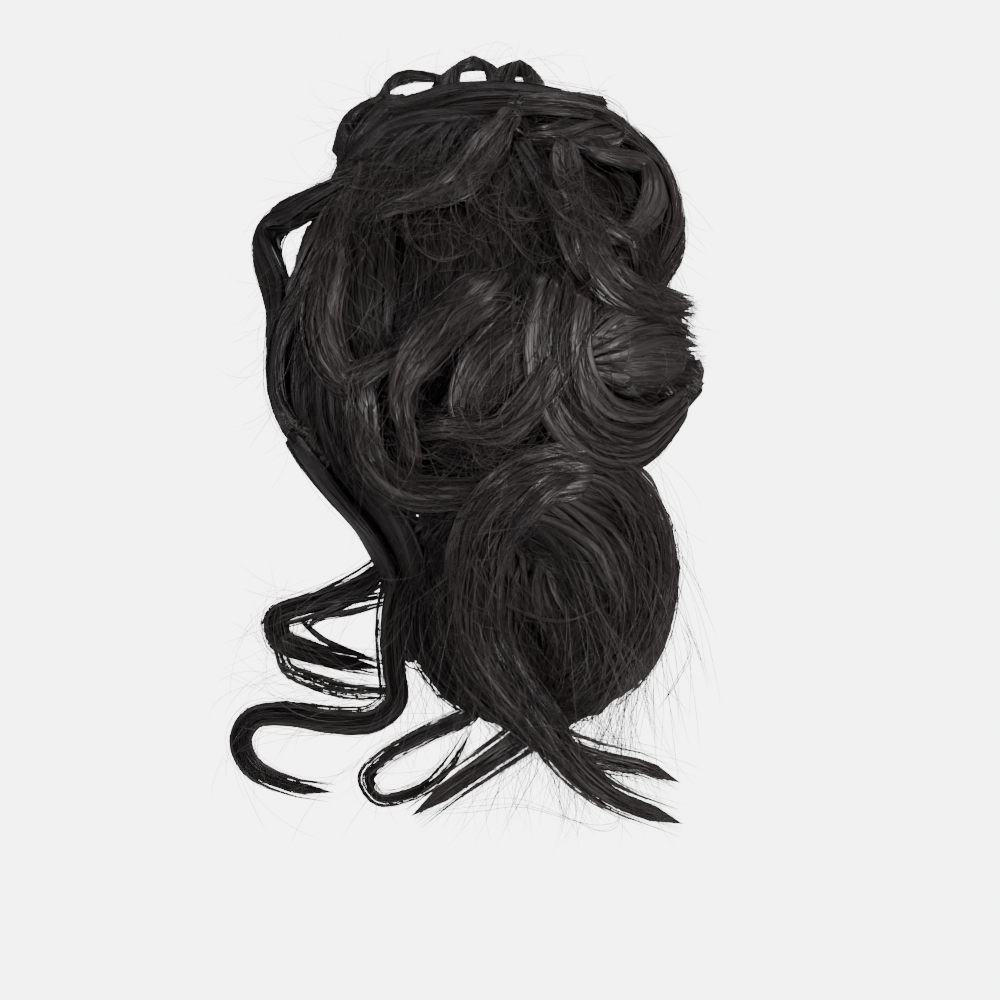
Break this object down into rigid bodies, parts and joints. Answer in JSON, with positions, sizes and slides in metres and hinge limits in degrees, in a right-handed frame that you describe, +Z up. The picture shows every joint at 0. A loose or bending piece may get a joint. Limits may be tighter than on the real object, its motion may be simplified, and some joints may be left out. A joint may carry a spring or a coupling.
{
  "type": "top knot hairpiece",
  "caption": "Large loose bun of dark wavy hair on an elastic band, worn on the crown, with curled tendrils that hang behind the neck.",
  "frame": {"origin": "middle of the elastic band, on the scalp of the wearer at the back of the crown", "axes": "+X to the wearer's right, +Y the way the wearer faces, +Z up"},
  "size_m": [0.1786, 0.1322, 0.303],
  "materials": {
    "hair": "glossy black-brown synthetic hair in loose waves",
    "elastic": "matt black covered elastic"
  },
  "bodies": {
    "root": {"wound_ring": "hair", "wound_cover": "hair", "nape_hair": "hair", "elastic_band": "elastic", "crown_edge_lock": "hair", "crown_right_lock": "hair", "crown_left_lock": "hair", "crown_middle_lock": "hair", "right_outer_curl": "hair", "right_fall": "hair", "left_outer_fall": "hair", "left_inner_fall": "hair", "centre_fall": "hair", "centre_left_fall": "hair", "left_under_fall": "hair", "lower_cover_lock": "hair", "nape_under_lock": "hair", "nape_middle_lock": "hair", "nape_right_lock": "hair", "nape_edge_lock": "hair", "right_roll": "hair", "right_swirl": "hair", "right_sweep": "hair", "right_inner_ring": "hair", "right_inner_strand": "hair", "crown_swoop": "hair", "left_u_curl": "hair", "left_centre_lock": "hair", "centre_curl": "hair", "centre_hook": "hair", "lower_left_sweep": "hair", "left_loop": "hair", "left_bulge": "hair", "top_loop_1": "hair", "top_loop_2": "hair", "top_loop_3": "hair", "swirl_tendril": "hair", "inner_s_tendril": "hair", "long_s_tendril": "hair", "left_s_tendril": "hair", "mid_loop_tendril": "hair", "ear_tendril": "hair", "cheek_tendril": "hair", "front_lock_1": "hair", "front_lock_2": "hair", "front_lock_3": "hair", "front_lock_4": "hair", "front_lock_5": "hair", "front_lock_6": "hair", "front_lock_7": "hair", "front_lock_8": "hair", "front_lock_9": "hair"}
  },
  "joints": []
}
